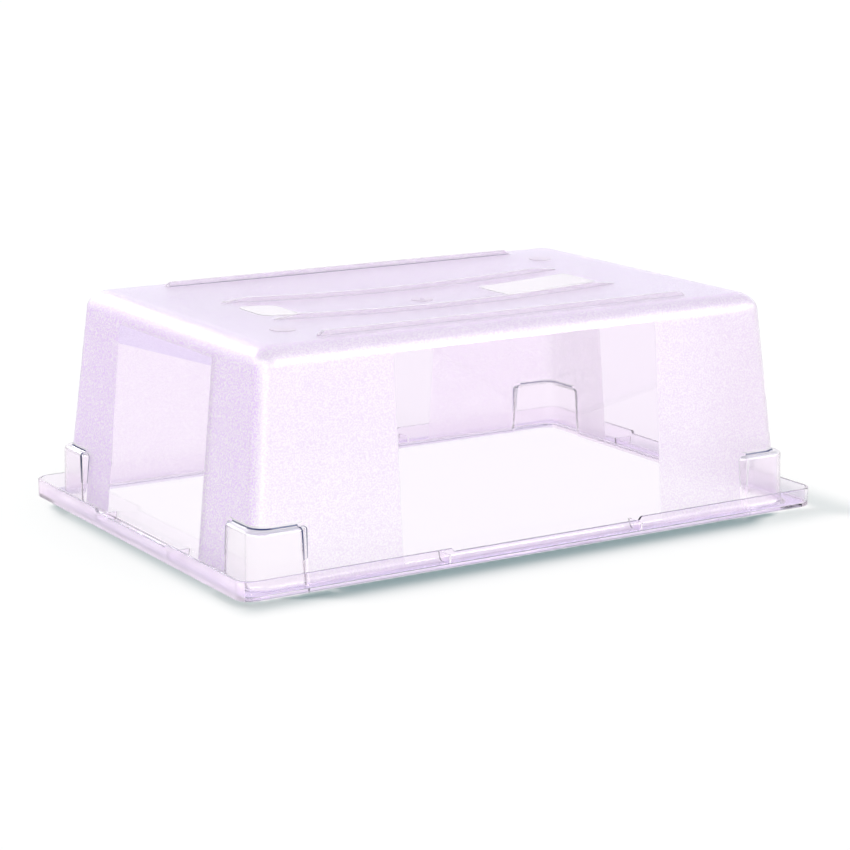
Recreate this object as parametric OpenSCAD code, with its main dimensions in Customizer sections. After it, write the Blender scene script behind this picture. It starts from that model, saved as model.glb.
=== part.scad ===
// Deep rectangular food box in clear plastic, standing on its rim with its base up.
// Millimetres, +X along the long side, +Z up, origin at the middle of the rim's face.

/* [Rim] */
// Length over the rim
rim_length = 660.4; // [600:0.2:760]
// Width over the rim
rim_width = 457.2; // [420:0.2:540]
// Plan radius of the rim's outer corners
rim_corner_r = 16; // [12:0.5:22]
// Thickness of the flange, and of the skirt that stands on it
rim_thick = 3; // [2:0.1:4]
// Height of the skirt near the corners
skirt_high = 18.8; // [17:0.1:24]
// Height of the skirt in the middle of each side
skirt_low = 15.5; // [13:0.1:16.5]
// Half length of the low stretch on each long side
low_half_long = 110; // [60:1:160]
// Half length of the low stretch on each short side
low_half_short = 78; // [40:1:100]
// Radius of the hollow where the skirt meets the flange
gutter_r = 2; // [1:0.5:4]
// Rounding of the rim's outer lower edge
rim_edge_r = 1.2; // [0.6:0.1:2]
// Rounding of the skirt's free edge
skirt_edge_r = 0.9; // [0.4:0.1:0.9]
// Thickness of the webs that brace the skirt to the wall
web_thick = 2; // [1:0.1:3]
// Height of those webs above the rim's face
web_high = 12; // [9:0.1:12.8]

/* [Tub] */
// Width of the rim outside the walls at the short ends
gutter_end = 22.5; // [18:0.1:28]
// Width of the rim outside the walls along the long sides
gutter_side = 20.7; // [18:0.1:26]
// Height of the base above the rim's face
base_high = 217.6; // [150:0.2:300]
// Draft of the walls in degrees
wall_draft = 5.3; // [3:0.1:7]
// Thickness of the walls and the base
wall_thick = 3.2; // [2:0.1:4]
// Radius of the hollow where the walls turn into the flange
wall_foot_r = 5; // [3:0.5:7]
// Plan radius of the upright corners
wall_corner_r = 18; // [14:0.5:24]
// Radius where the walls turn into the base
base_edge_r = 21; // [14:0.5:26]
// Plan radius of the base's flat face at its corners
base_corner_r = 9; // [6:0.5:12]
// Depth to which the base is dished in its middle
dish_depth = 9.2; // [4:0.1:14]

/* [Corner lugs] */
// Distance that a lug runs from the rim's edge along each wall
lug_reach = 72; // [60:0.5:85]
// Height of a lug's shoulder above the rim's face
lug_high = 55.5; // [40:0.2:75]
// Rounding between a lug's upright faces and its shoulder
lug_round = 4; // [3.4:0.1:4.5]
// Distance that a lug's faces stand outside the wall's foot
lug_proud = 2.1; // [1.6:0.1:4]
// Draft of a lug's faces in degrees
lug_draft = 0.9; // [0.3:0.1:1.5]
// Lean of a lug's ends in degrees, wider towards the rim
lug_end_lean = 3.3; // [1:0.1:5]
// Angle in plan between a lug's ends and straight out from the wall, in degrees
lug_end_angle = 48.7; // [30:0.1:55]
// Plan radius of a lug's corner
lug_corner_r = 17; // [14:0.5:22]
// Radius of the hollow where a lug's shoulder meets the wall
shoulder_r = 2; // [1:0.1:2.2]
// Thickness of a lug's skin
lug_thick = 3; // [2.6:0.1:3.2]

/* [Base] */
// Width of a runner where it meets the base
runner_foot = 6; // [5:0.1:9]
// Width of a runner's top
runner_top = 4.8; // [3:0.1:4.9]
// Height of a runner above the base
runner_high = 4.4; // [3:0.1:6]
// Height of a runner's ramps at their tips
ramp_lip = 0.5; // [0.3:0.1:1]
// Distance from the base's flat edge to the middle of an outer runner
runner_inset = 13.2; // [8:0.1:20]
// Distance between the middles of the two inner runners
inner_runner_gap = 105.4; // [80:0.2:130]
// Distance from the base's flat end to the tip of an outer runner
outer_runner_short = 58; // [30:1:90]
// Distance from the base's flat end to the tip of an inner runner
inner_runner_short = 69; // [40:1:100]
// Length of the ramp at the ends of an outer runner
outer_ramp = 6; // [3:0.5:12]
// Length of the pointed ramp at the ends of an inner runner
inner_ramp = 27; // [12:1:40]
// Diameter of the two round pads
pad_d = 25; // [18:0.5:30]
// Height of the pads and of the smooth panels above the base
pad_high = 0.6; // [0.4:0.1:1]
// Distance from the base's flat end to the middle of a pad
pad_inset_end = 46.8; // [40:0.2:60]
// Distance from the base's flat side to the middle of a pad
pad_inset_side = 58.5; // [45:0.5:66]
// Diameter of the disc round the moulding gate
gate_d = 22; // [16:0.5:28]
// Diameter of the gate's nub
gate_nub_d = 5; // [3:0.1:7]
// Height of the nub above the disc
gate_nub_high = 1; // [0.5:0.1:2]
// Length of the long smooth panel
long_panel = 109; // [80:1:120]
// Length of the short smooth panel
short_panel = 43; // [30:1:50]
// Width of both smooth panels
panel_wide = 58; // [40:1:70]
// Distance from the base's flat ends to the smooth panels
panel_inset = 72; // [64:1:80]
// Distance that both smooth panels lie off the middle, towards -X and towards -Y
panel_shift = 3; // [0:0.5:5]
// Plan radius of the short panel's corners
short_panel_r = 12; // [4:0.5:15]
// Plan radius of the long panel's corners
long_panel_r = 3; // [1:0.5:6]

/* [Hidden] */
frosted = [0.90, 0.86, 0.95];
clear = [0.96, 0.93, 0.99];
// Steps in each quarter turn of the tub's corners, an even number
corner_steps = 12;
// Steps in the turn from wall to base
edge_steps = 8;
// Steps in the small roundings
round_steps = 4;
// Sides of a full circle
circle_sides = 48;
// Cells of the dished base along its length and its width
grid_columns = 28;
grid_rows = 18;
// Length by which cutting shapes run past what they cut
overrun = 2;
// Width of the flat base round the dished panel
panel_margin = 4;

half_long = rim_length / 2;
half_wide = rim_width / 2;
wall_foot_long = half_long - gutter_end;
wall_foot_wide = half_wide - gutter_side;
// Inset of the flat base's edge from the wall's foot
edge_inset = base_edge_r * cos(wall_draft)
           + tan(wall_draft) * (base_high - base_edge_r * (1 - sin(wall_draft)));
// Half lengths of the flat base, and of the dished panel inside its margin
flat_long = wall_foot_long - edge_inset;
flat_wide = wall_foot_wide - edge_inset;
panel_long = flat_long - panel_margin;
panel_wide_half = flat_wide - panel_margin;
dish_floor = base_high - dish_depth;
outer_runner_y = flat_wide - runner_inset;
inner_runner_y = inner_runner_gap / 2;
// Length of the slope between the low and the high skirt
step_ramp = skirt_high - skirt_low;
// Width of the skirt's foot, which takes in the hollow beside it
foot_wide = rim_thick + gutter_r;
// Distance that the wall's skin measures along the level
skin_inset = wall_thick / cos(wall_draft);
// Depth to which a lug's shape runs into the tub, past the inside of the wall
lug_root = lug_proud + skin_inset + (lug_high + shoulder_r) * tan(wall_draft) + overrun;

// Points of an arc, both ends included
function arc(cx, cy, r, from, to, steps) =
    [for (i = [0:steps]) let (a = from + (to - from) * i / steps) [cx + r * cos(a), cy + r * sin(a)]];

// Which side of the part each quarter turn is on, counted anticlockwise from +X +Y
function side_x(q) = q == 0 || q == 3 ? 1 : -1;
function side_y(q) = q < 2 ? 1 : -1;

// Outline of a rectangle with round corners, anticlockwise
function round_ring(hx, hy, r) = [
    for (q = [0:3])
        each arc(side_x(q) * (hx - r), side_y(q) * (hy - r), r, 90 * q, 90 * q + 90, corner_steps)];

// The same number of points along a rectangle with sharp corners, laid on the last run of each side
function square_corner(run, a) = a <= 45 ? [run, run * tan(a)] : [run * tan(90 - a), run];
function square_ring(hx, hy, run) = [
    for (q = [0:3], i = [0:corner_steps])
        let (even = q % 2 == 0, c = square_corner(run, 90 * (even ? i : corner_steps - i) / corner_steps))
        [side_x(q) * (hx - run + c[0]), side_y(q) * (hy - run + c[1])]];

// Solid between a stack of outlines with equal numbers of points, [[z, points], ...]
module loft(rings) {
    n = len(rings[0][1]);
    m = len(rings);
    points = [for (k = rings, p = k[1]) [p[0], p[1], k[0]]];
    sides = [for (k = [0:m - 2], j = [0:n - 1])
        let (a = k * n + j, b = k * n + (j + 1) % n) each [[a, a + n, b], [b, a + n, b + n]]];
    polyhedron(points, concat(sides, [[for (j = [0:n - 1]) j]],
                              [[for (j = [n - 1:-1:0]) (m - 1) * n + j]]), convexity = 8);
}

// Closed band swept round a loop of outlines, each joined to the next and the last to the first
module band(rings) {
    n = len(rings[0][1]);
    m = len(rings);
    points = [for (k = rings, p = k[1]) [p[0], p[1], k[0]]];
    sides = [for (k = [0:m - 1], j = [0:n - 1])
        let (a = k * n + j, b = k * n + (j + 1) % n, up = k == m - 1 ? -k * n : n)
        each [[a, a + up, b], [b, a + up, b + up]]];
    polyhedron(points, sides, convexity = 8);
}

// Half lengths of the wall's outer face at a height
function wall_x(z) = wall_foot_long - z * tan(wall_draft);
function wall_y(z) = wall_foot_wide - z * tan(wall_draft);

// Outline of the tub at the turn from wall to base, at an angle of the turn and a radius
function turn_ring(a, r, skin) =
    let (inset = edge_inset - r * cos(a), share = (a - wall_draft) / (90 - wall_draft),
         corner = wall_corner_r + (base_corner_r - wall_corner_r) * share)
    [base_high - base_edge_r + r * sin(a),
     round_ring(wall_foot_long - inset, wall_foot_wide - inset, corner - skin * (1 - share))];
turn_angles = [for (i = [0:edge_steps]) wall_draft + (90 - wall_draft) * i / edge_steps];

// Height, and distance from the wall's face, at an angle of the hollow at the walls' foot
function foot_z(a) = rim_thick + wall_foot_r * (1 - cos(a));
function foot_out(a) = wall_foot_r * (1 - sin(a));
// Outlines up that hollow, from the flange
foot_rings = [for (i = [0:round_steps])
    let (a = 90 * i / round_steps, z = foot_z(a), out = foot_out(a))
    [z, round_ring(wall_x(z) + out, wall_y(z) + out, wall_corner_r + out)]];

// The walls, their turn into the base and the flat margin round the dished panel
module wall_band() {
    inner_foot = [rim_thick, round_ring(wall_x(rim_thick) - skin_inset, wall_y(rim_thick) - skin_inset,
                                        wall_corner_r - wall_thick)];
    outer_turn = [for (a = turn_angles) turn_ring(a, base_edge_r, 0)];
    inner_turn = [for (i = [edge_steps:-1:0])
        turn_ring(turn_angles[i], base_edge_r - wall_thick, wall_thick)];
    mouth = square_ring(panel_long, panel_wide_half, base_corner_r);
    band(concat(foot_rings, outer_turn, [[base_high, mouth], [base_high - wall_thick, mouth]],
                inner_turn, [inner_foot]));
}

// Outline in plan of the +X +Y corner's lug at a height, drawn in by an inset, with a corner of radius r
function lug_x(z) = wall_foot_long + lug_proud - z * tan(lug_draft);
function lug_y(z) = wall_foot_wide + lug_proud - z * tan(lug_draft);
function lug_end(half, z) = half - lug_reach - (lug_high - z) * tan(lug_end_lean);
function lug_outline(z, inset, r) =
    let (x = lug_x(z) - inset, y = lug_y(z) - inset,
         shift = inset * (1 / cos(lug_end_angle) - tan(lug_end_angle)),
         ex = lug_end(half_long, z) + shift, ey = lug_end(half_wide, z) + shift,
         back = lug_root * tan(lug_end_angle))
    concat([[x - lug_root, ey - back], [x, ey]], arc(x - r, y - r, r, 0, 90, corner_steps),
           [[ex, y], [ex - back, y - lug_root]]);
// Outlines up a lug's upright faces and over the rounding of its shoulder
function lug_rings(inset, foot, top, round_r) = [
    [foot, lug_outline(foot, inset, lug_corner_r - inset)],
    for (i = [0:round_steps])
        let (a = 90 * i / round_steps, z = top - round_r + round_r * sin(a),
             in = inset + round_r * (1 - cos(a)))
        [z, lug_outline(z, in, lug_corner_r - in)]];
// Outlines up the hollow between a lug's shoulder and the wall
shoulder_rings = [for (i = [0:round_steps])
    let (a = 90 * i / round_steps, z = lug_high + shoulder_r * (1 - cos(a)), out = shoulder_r * (1 - sin(a)))
    [z, lug_outline(z, lug_x(z) - wall_x(z) - out, wall_corner_r + out)]];
// The hollow that a lug encloses, open to the inside of the tub
module lug_hollow() {
    loft(lug_rings(lug_thick, -overrun, lug_high - lug_thick, lug_round - lug_thick));
}
module at_corner(sx, sy) {
    scale([sx, sy, 1]) children();
}
module lug(sx, sy) {
    color(clear) difference() {
        at_corner(sx, sy) loft(concat(lug_rings(0, rim_thick, lug_high, lug_round), shoulder_rings));
        at_corner(sx, sy) lug_hollow();
        tub_core();
    }
}
// Everything inside the wall's outer face, up past the lugs
module tub_core() {
    top = lug_high + shoulder_r + overrun;
    loft(concat([[-overrun, foot_rings[0][1]]], foot_rings,
                [[top, round_ring(wall_x(top), wall_y(top), wall_corner_r)]]));
}

module wall_shell() {
    color(frosted) difference() {
        wall_band();
        for (sx = [-1, 1], sy = [-1, 1]) at_corner(sx, sy) lug_hollow();
    }
}

// Dished panel in the middle of the base, on a grid of cells that the pieces on it share
function dish_z(x, y) =
    let (u = max(0, 1 - pow(x / panel_long, 2)), v = max(0, 1 - pow(y / panel_wide_half, 2)))
    base_high - dish_depth * u * v * sqrt(u * v);
function grid_x(i) = panel_long * (2 * i / grid_columns - 1);
function grid_y(j) = panel_wide_half * (2 * j / grid_rows - 1);
module dish_slab(i0, i1, j0, j1, up, down) {
    nx = i1 - i0;
    ny = j1 - j0;
    row = ny + 1;
    layer = (nx + 1) * row;
    points = [for (lift = [-down, up], i = [i0:i1], j = [j0:j1])
        [grid_x(i), grid_y(j), dish_z(grid_x(i), grid_y(j)) + lift]];
    cells = [for (i = [0:nx - 1], j = [0:ny - 1]) i * row + j];
    under = [for (a = cells) each [[a, a + row, a + 1], [a + 1, a + row, a + row + 1]]];
    over = [for (f = under) [for (k = [2:-1:0]) f[k] + layer]];
    ends = [for (j = [0:ny - 1]) let (a = j, b = nx * row + j)
        each [[a, a + 1, a + layer], [a + 1, a + layer + 1, a + layer],
              [b + 1, b, b + layer + 1], [b, b + layer, b + layer + 1]]];
    flanks = [for (i = [0:nx - 1]) let (a = i * row, b = i * row + ny)
        each [[a + row, a, a + row + layer], [a, a + layer, a + row + layer],
              [b, b + row, b + layer], [b + row, b + row + layer, b + layer]]];
    polyhedron(points, concat(under, over, ends, flanks), convexity = 8);
}
module base_panel() {
    color(frosted) dish_slab(0, grid_columns, 0, grid_rows, 0, wall_thick);
}

// Keeps of its children what stands on the dished base, over a rectangle and up to a height
module on_dish(x0, x1, y0, y1, up) {
    i0 = max(0, floor((x0 / panel_long + 1) * grid_columns / 2));
    i1 = min(grid_columns, ceil((x1 / panel_long + 1) * grid_columns / 2));
    j0 = max(0, floor((y0 / panel_wide_half + 1) * grid_rows / 2));
    j1 = min(grid_rows, ceil((y1 / panel_wide_half + 1) * grid_rows / 2));
    intersection() {
        children();
        dish_slab(i0, i1, j0, j1, up, 0);
    }
}
module pillar() {
    translate([0, 0, dish_floor - overrun]) linear_extrude(dish_depth + pad_high + 2 * overrun) children();
}

// Runner with drafted sides, through places along it given as [x, height of its top]
module runner(y, tops) {
    foot_half = runner_foot / 2;
    draft = (foot_half - runner_top / 2) / runner_high;
    tip = tops[len(tops) - 1][0];
    low = dish_floor - overrun;
    sections = [for (t = tops) let (base = dish_z(t[0], y), f = foot_half + (base - low) * draft,
                                    h = foot_half - (t[1] - base) * draft)
        [t[0], [[y - f, low], [y + f, low], [y + h, t[1]], [y - h, t[1]]]]];
    color(clear) on_dish(-tip, tip, y - foot_half, y + foot_half, dish_depth + runner_high + overrun)
        rotate([90, 0, 90]) loft(sections);
}
// Runner with a level top, along the base's edge
module outer_runner(y) {
    tip = flat_long - outer_runner_short;
    level = base_high + runner_high;
    lip = dish_z(tip, y) + ramp_lip;
    runner(y, [[-tip, lip], [outer_ramp - tip, level], [tip - outer_ramp, level], [tip, lip]]);
}
// Runner that follows the dish, with long ramps at its ends
module inner_runner(y) {
    tip = flat_long - inner_runner_short;
    lip = dish_z(tip, y) + ramp_lip;
    body = [for (i = [0:grid_rows]) let (x = (tip - inner_ramp) * (2 * i / grid_rows - 1))
        [x, dish_z(x, y) + runner_high]];
    runner(y, concat([[-tip, lip]], body, [[tip, lip]]));
}

// Disc raised a little above the base
module raised_disc(x, y, r) {
    on_dish(x - r, x + r, y - r, y + r, pad_high)
        pillar() translate([x, y]) circle(r, $fn = circle_sides);
}
module round_pad(s) {
    color(clear) raised_disc(s * (flat_long - pad_inset_end), s * (flat_wide - pad_inset_side), pad_d / 2);
}
module gate_disc() {
    color(clear) {
        raised_disc(0, 0, gate_d / 2);
        translate([0, 0, dish_floor + pad_high])
            cylinder(d = gate_nub_d, h = gate_nub_high, $fn = circle_sides);
    }
}
// Rectangle from x0 to x1 with round corners
module round_plate(x0, x1, half, r) {
    translate([x0, r - half]) square([x1 - x0, 2 * (half - r)]);
    translate([x0 + r, -half]) square([x1 - x0 - 2 * r, 2 * half]);
    for (x = [x0 + r, x1 - r], y = [r - half, half - r]) translate([x, y]) circle(r, $fn = circle_sides);
}
// Panel raised a little above the base, left without the base's texture
module smooth_panel(x0, x1, r) {
    half = panel_wide / 2;
    y = -panel_shift;
    color(clear) on_dish(x0, x1, y - half, y + half, pad_high)
        pillar() translate([0, y]) round_plate(x0, x1, half, r);
}
module long_smooth_panel() {
    end = flat_long - panel_inset - panel_shift;
    smooth_panel(end - long_panel, end, long_panel_r);
}
module short_smooth_panel() {
    end = panel_inset - flat_long - panel_shift;
    smooth_panel(end, end + short_panel, short_panel_r);
}

// Flat flange from the tub's mouth out to the skirt's foot, cut away over the lugs' hollows
module rim_flange() {
    out_x = half_long - foot_wide;
    mouth = round_ring(wall_x(rim_thick) - skin_inset, wall_y(rim_thick) - skin_inset,
                       wall_corner_r - wall_thick);
    color(clear) linear_extrude(rim_thick) difference() {
        round_plate(-out_x, out_x, half_wide - foot_wide, rim_corner_r - foot_wide);
        polygon(mouth);
        for (sx = [-1, 1], sy = [-1, 1])
            scale([sx, sy]) polygon(lug_outline(rim_thick, lug_thick, lug_corner_r - lug_thick));
    }
}

// Section of the skirt and its foot, measured out from the axis of the rim's corner
skirt_inside = rim_corner_r - rim_thick;
skirt_section = concat(
    [[rim_corner_r - foot_wide, 0]],
    arc(rim_corner_r - rim_edge_r, rim_edge_r, rim_edge_r, -90, 0, round_steps),
    arc(rim_corner_r - skirt_edge_r, skirt_high - skirt_edge_r, skirt_edge_r, 0, 90, round_steps),
    arc(skirt_inside + skirt_edge_r, skirt_high - skirt_edge_r, skirt_edge_r, 90, 180, round_steps),
    arc(skirt_inside - gutter_r, rim_thick + gutter_r, gutter_r, 0, -90, round_steps));
module skirt_run(length, out) {
    translate([-length / 2, out - rim_corner_r, 0]) rotate([90, 0, 90])
        linear_extrude(length) polygon(skirt_section);
}
module rim_skirt() {
    run_long = rim_length - 2 * rim_corner_r;
    run_wide = rim_width - 2 * rim_corner_r;
    color(clear) difference() {
        union() {
            for (half_turn = [0, 180]) rotate(half_turn) {
                skirt_run(run_long, half_wide);
                rotate(90) skirt_run(run_wide, half_long);
            }
            for (q = [0:3]) translate([side_x(q) * run_long / 2, side_y(q) * run_wide / 2, 0])
                rotate(90 * q) rotate_extrude(angle = 90, $fn = 4 * corner_steps) polygon(skirt_section);
        }
        skirt_notch(low_half_long, rim_width);
        rotate(90) skirt_notch(low_half_short, rim_length);
    }
}
// Cuts the skirt down over the middle of two opposite sides
module skirt_notch(half, across) {
    top = skirt_high + overrun;
    slope = half + overrun;
    step = [for (i = [0:round_steps]) let (t = i / round_steps)
        [half - step_ramp * (1 - t), skirt_low + step_ramp * t * t * (3 - 2 * t)]];
    translate([0, across / 2 + overrun, 0]) rotate([90, 0, 0]) linear_extrude(across + 2 * overrun)
        polygon(concat([for (p = step) [-p[0], p[1]]], [[-slope, top], [slope, top]],
                       [for (i = [round_steps:-1:0]) step[i]]));
}

// Upright web across the gutter beside each step in the skirt
module rim_web(x, foot, out) {
    gutter = out - rim_thick;
    wall_side = [for (i = [round_steps:-1:0])
        let (a = 90 * i / round_steps) [foot - foot_z(a) * tan(wall_draft) + foot_out(a), foot_z(a)]];
    section = concat([[foot - web_high * tan(wall_draft), web_high]], wall_side,
                     arc(gutter - gutter_r, rim_thick + gutter_r, gutter_r, -90, 0, round_steps),
                     [[gutter, web_high]]);
    translate([x - web_thick / 2, 0, 0]) rotate([90, 0, 90]) linear_extrude(web_thick) polygon(section);
}
module web(k) {
    turn = floor((k - 1) / 2);
    side = k % 2 == 0 ? 1 : -1;
    long = turn % 2 == 0;
    place = (long ? low_half_long : low_half_short) + web_thick / 2;
    color(clear) rotate(90 * turn)
        rim_web(side * place, long ? wall_foot_wide : wall_foot_long, long ? half_wide : half_long);
}

wall_shell();
base_panel();
rim_flange();
rim_skirt();
lug(-1, -1);  // corner_lug_1
lug(1, -1);  // corner_lug_2
lug(1, 1);  // corner_lug_3
lug(-1, 1);  // corner_lug_4
outer_runner(-outer_runner_y);  // outer_runner_1
outer_runner(outer_runner_y);  // outer_runner_2
inner_runner(-inner_runner_y);  // inner_runner_1
inner_runner(inner_runner_y);  // inner_runner_2
web(1);  // rim_web_1
web(2);  // rim_web_2
web(3);  // rim_web_3
web(4);  // rim_web_4
web(5);  // rim_web_5
web(6);  // rim_web_6
web(7);  // rim_web_7
web(8);  // rim_web_8
round_pad(-1);  // round_pad_1
round_pad(1);  // round_pad_2
long_smooth_panel();
short_smooth_panel();
gate_disc();
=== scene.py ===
from math import ceil, cos, dist, floor, hypot, pi, radians, sin, sqrt, tan

import bmesh
import bpy
from mathutils import Matrix, Vector
from mathutils.geometry import delaunay_2d_cdt


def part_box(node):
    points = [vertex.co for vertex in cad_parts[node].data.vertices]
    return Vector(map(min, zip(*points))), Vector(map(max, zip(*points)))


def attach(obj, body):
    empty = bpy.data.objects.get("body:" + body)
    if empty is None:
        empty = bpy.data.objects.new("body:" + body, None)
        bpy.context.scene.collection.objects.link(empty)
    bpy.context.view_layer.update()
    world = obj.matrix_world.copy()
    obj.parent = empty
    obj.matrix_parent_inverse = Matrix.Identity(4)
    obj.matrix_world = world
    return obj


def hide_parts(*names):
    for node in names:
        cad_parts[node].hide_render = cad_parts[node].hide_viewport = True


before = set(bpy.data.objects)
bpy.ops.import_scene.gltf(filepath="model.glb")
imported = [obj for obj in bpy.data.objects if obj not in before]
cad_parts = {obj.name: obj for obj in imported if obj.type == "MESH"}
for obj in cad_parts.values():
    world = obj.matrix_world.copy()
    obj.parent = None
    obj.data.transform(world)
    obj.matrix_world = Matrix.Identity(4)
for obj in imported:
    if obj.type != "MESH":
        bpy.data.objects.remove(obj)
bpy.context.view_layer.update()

# Lengths below are in millimetres, in the frame's axes, and become metres where a mesh is made.
MM = 0.001

# Rim
HALF_LONG, HALF_WIDE = (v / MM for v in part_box("rim_skirt")[1][:2])
RIM_CORNER_R = 16.0
RIM_THICK = 3.0
SKIRT_HIGH, SKIRT_LOW = 18.8, 15.5
LOW_HALF_LONG, LOW_HALF_SHORT = 110.0, 78.0
GUTTER_R = 2.0
RIM_EDGE_R = 1.2
# The rim's painted dark line reaches up to the first height, and its painted deeper band from there to the
# second
RIM_LINE, RIM_BAND = 1.7, 3.4
SKIRT_EDGE_R = 0.9
MOUTH_EDGE_R = 0.6
WEB_THICK, WEB_HIGH = 2.0, 12.0
RIM_FOOT = RIM_THICK + GUTTER_R
# Tub
GUTTER_END, GUTTER_SIDE = 22.5, 20.7
BASE_HIGH = 217.6
WALL_DRAFT = radians(5.3)
WALL_THICK = 3.2
WALL_CORNER_R = 18.0
WALL_FOOT_R = 5.0
BASE_EDGE_R = 21.0
BASE_CORNER_R = 9.0
DISH_DEPTH, DISH_POWER = 9.2, 1.5
DISH_MARGIN = 4.0
SKIN_INSET = WALL_THICK / cos(WALL_DRAFT)
# Corner lugs
LUG_REACH = 72.0
LUG_HIGH = 55.5
LUG_ROUND = 4.0
LUG_PROUD = 2.1
LUG_DRAFT = radians(0.9)
LUG_END_LEAN = radians(3.3)
LUG_END_ANGLE = radians(48.7)
LUG_CORNER_R = 17.0
LUG_THICK = 3.0
SHOULDER_R = 2.0
CEILING_RISE = 0.4
# A lug's bevelled end: its shortest length, and its rounds, which take up to a share of the slope
LUG_END_SHORTEST = 0.8
LUG_END_R, LUG_END_SHARE = 1.2, 0.3
# Up to these heights the lugs' ends look misty, and the wall just above the lugs has a painted highlight
MIST_HIGH, PAINTED_GLINT_HIGH = 25.0, 59.3
# Heights of the rings between, and how the lugs' columns run on up the wall
LUG_MIDDLE = 38.0
WALL_LEVELS = (PAINTED_GLINT_HIGH, 64.0, 90.0, 120.0, 150.0, 180.0)
MARKS_WIDE, MARKS_DRIFT = 3.0, 20.0
# Base
RUNNER_FOOT, RUNNER_TOP, RUNNER_HIGH = 6.0, 4.8, 4.4
RUNNER_EDGE, RUNNER_EDGE_SHARE = 0.5, 0.4
# Up to the line's height a runner's foot has a strip of painted shade
RUNNER_LINE, RUNNER_LINE_SHARE = 0.5, 0.2
RAMP_LIP = 0.5
RUNNER_INSET, INNER_RUNNER_GAP = 13.2, 105.4
OUTER_RUNNER_SHORT, INNER_RUNNER_SHORT = 58.0, 69.0
OUTER_RAMP, INNER_RAMP = 6.0, 27.0
PAD_D, PAD_HIGH, PAD_BEVEL = 25.0, 0.6, 0.4
PAD_INSET_END, PAD_INSET_SIDE = 46.8, 58.5
GATE_D, GATE_NUB_D, GATE_NUB_HIGH = 22.0, 5.0, 1.0
LONG_PANEL, SHORT_PANEL, PANEL_WIDE, PANEL_INSET = 109.0, 43.0, 58.0, 72.0
SHORT_PANEL_R, LONG_PANEL_R = 12.0, 3.0
PANEL_SHIFT = 3.0
# Smooth windows in the textured walls: half width, top, corner radius
LONG_WINDOW = (150.0, 203.0, 4.0)
SHORT_WINDOW = (98.0, 196.0, 3.0)
BACK_NARROW = 12.0
WINDOW_SOFT = 0.6

# Steps round corners, the turn into the base, small rounds, the mouth's edge, circles and panels
CORNER_STEPS, EDGE_STEPS, ROUND_STEPS, MOUTH_STEPS = 16, 12, 6, 3
CIRCLE_STEPS, NUB_STEPS, PANEL_CORNER_STEPS = 48, 24, 8
NUB_LOOPS = (1.0, 0.9, 0.7, 0.4)
# Spacing of points on the base, on its pads and along runners, and the share kept free at outlines
LATTICE, PAD_LATTICE, RUNNER_STEP = 12.0, 8.0, 10.0
LATTICE_CLEAR = 0.35
SHARP_ANGLE, RUNNER_SHARP_ANGLE = 32.0, 20.0
# How close heights count as equal, and points are merged
TINY = 1e-6
MERGED = 1e-4

# Half sizes of the tub at its foot, of the base's flat part, and of the dish in it
TUB_LONG, TUB_WIDE = HALF_LONG - GUTTER_END, HALF_WIDE - GUTTER_SIDE
EDGE_INSET = BASE_EDGE_R * cos(WALL_DRAFT) + tan(WALL_DRAFT) * (
    BASE_HIGH - BASE_EDGE_R * (1 - sin(WALL_DRAFT))
)
FLAT_LONG, FLAT_WIDE = TUB_LONG - EDGE_INSET, TUB_WIDE - EDGE_INSET
DISH_LONG, DISH_WIDE = FLAT_LONG - DISH_MARGIN, FLAT_WIDE - DISH_MARGIN

# Kinds of face, in the order of MATERIALS. A joint is solid plastic on both sides. Glint faces have a
# painted highlight, and deep and edge faces painted shade.
TEXTURED, CLEAR, JOINT, SATIN, DEEP_PAINTED_SHADE, PAINTED_SHADE_EDGE, PAINTED_GLINT, MIST = range(8)


# Plan outlines. Every ring has the same columns, so that rings join into bands.

STEP_PARTS = 4
STEP_MARKS = tuple(f"step_{i}" for i in range(STEP_PARTS))
END_MARKS = tuple(f"end_{i}" for i in range(6))
MARKS = (*STEP_MARKS, "web_near", "web_far", *END_MARKS)


def quarter(steps):
    """Angles through a quarter turn, in even steps."""
    return [radians(90 * i / steps) for i in range(steps + 1)]


def columns():
    """What each column of a ring is: ("corner", quarter, step) or ("side", quarter, mark, sign)."""
    made = []
    for q in range(4):
        made += [("corner", q, i) for i in range(CORNER_STEPS + 1)]
        made += [("side", q, m, 1) for m in reversed(MARKS)]
        made += [("side", q, "middle", 0)]
        made += [("side", q, m, -1) for m in MARKS]
    return made


CORNER_ANGLES, ROUND_ANGLES = quarter(CORNER_STEPS), quarter(ROUND_STEPS)
COLUMNS = columns()
COUNT = len(COLUMNS)


def turned(q, along, out):
    """A point on the side after corner q, at a distance along it and a distance out."""
    return [(along, out), (-out, along), (-along, -out), (out, -along)][q]


def end_points(foot, face, proud):
    """Six points of a lug's bevelled end as (along, out), round its foot and then its face's edge."""
    slope = hypot(face - foot, proud)
    ux, uy = (face - foot) / slope, proud / slope
    t = min(LUG_END_R, LUG_END_SHARE * slope)
    made = []
    for (x, y), before, after in (((foot, 0.0), (1, 0), (ux, uy)), ((face, proud), (ux, uy), (1, 0))):
        a = (x - t * before[0], y - t * before[1])
        c = (x + t * after[0], y + t * after[1])
        middle = ((a[0] + 2 * x + c[0]) / 4, (a[1] + 2 * y + c[1]) / 4)
        made += [a, middle, c]
    return made


def corner_point(q, step, half_long, half_wide, r, square):
    """A point round corner q, or on the right angle that would hold it where square is true."""
    a = CORNER_ANGLES[step]
    if not square:
        out, up = r * cos(a), r * sin(a)
    elif step * 2 <= CORNER_STEPS:
        out, up = r, r * tan(a)
    else:
        out, up = r / tan(a), r
    hx, hy = half_long - r, half_wide - r
    if q % 2:
        hx, hy = hy, hx
    return [(hx + out, hy + up), (-hy - up, hx + out), (-hx - out, -hy - up), (hy + up, -hx - out)][q]


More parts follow.
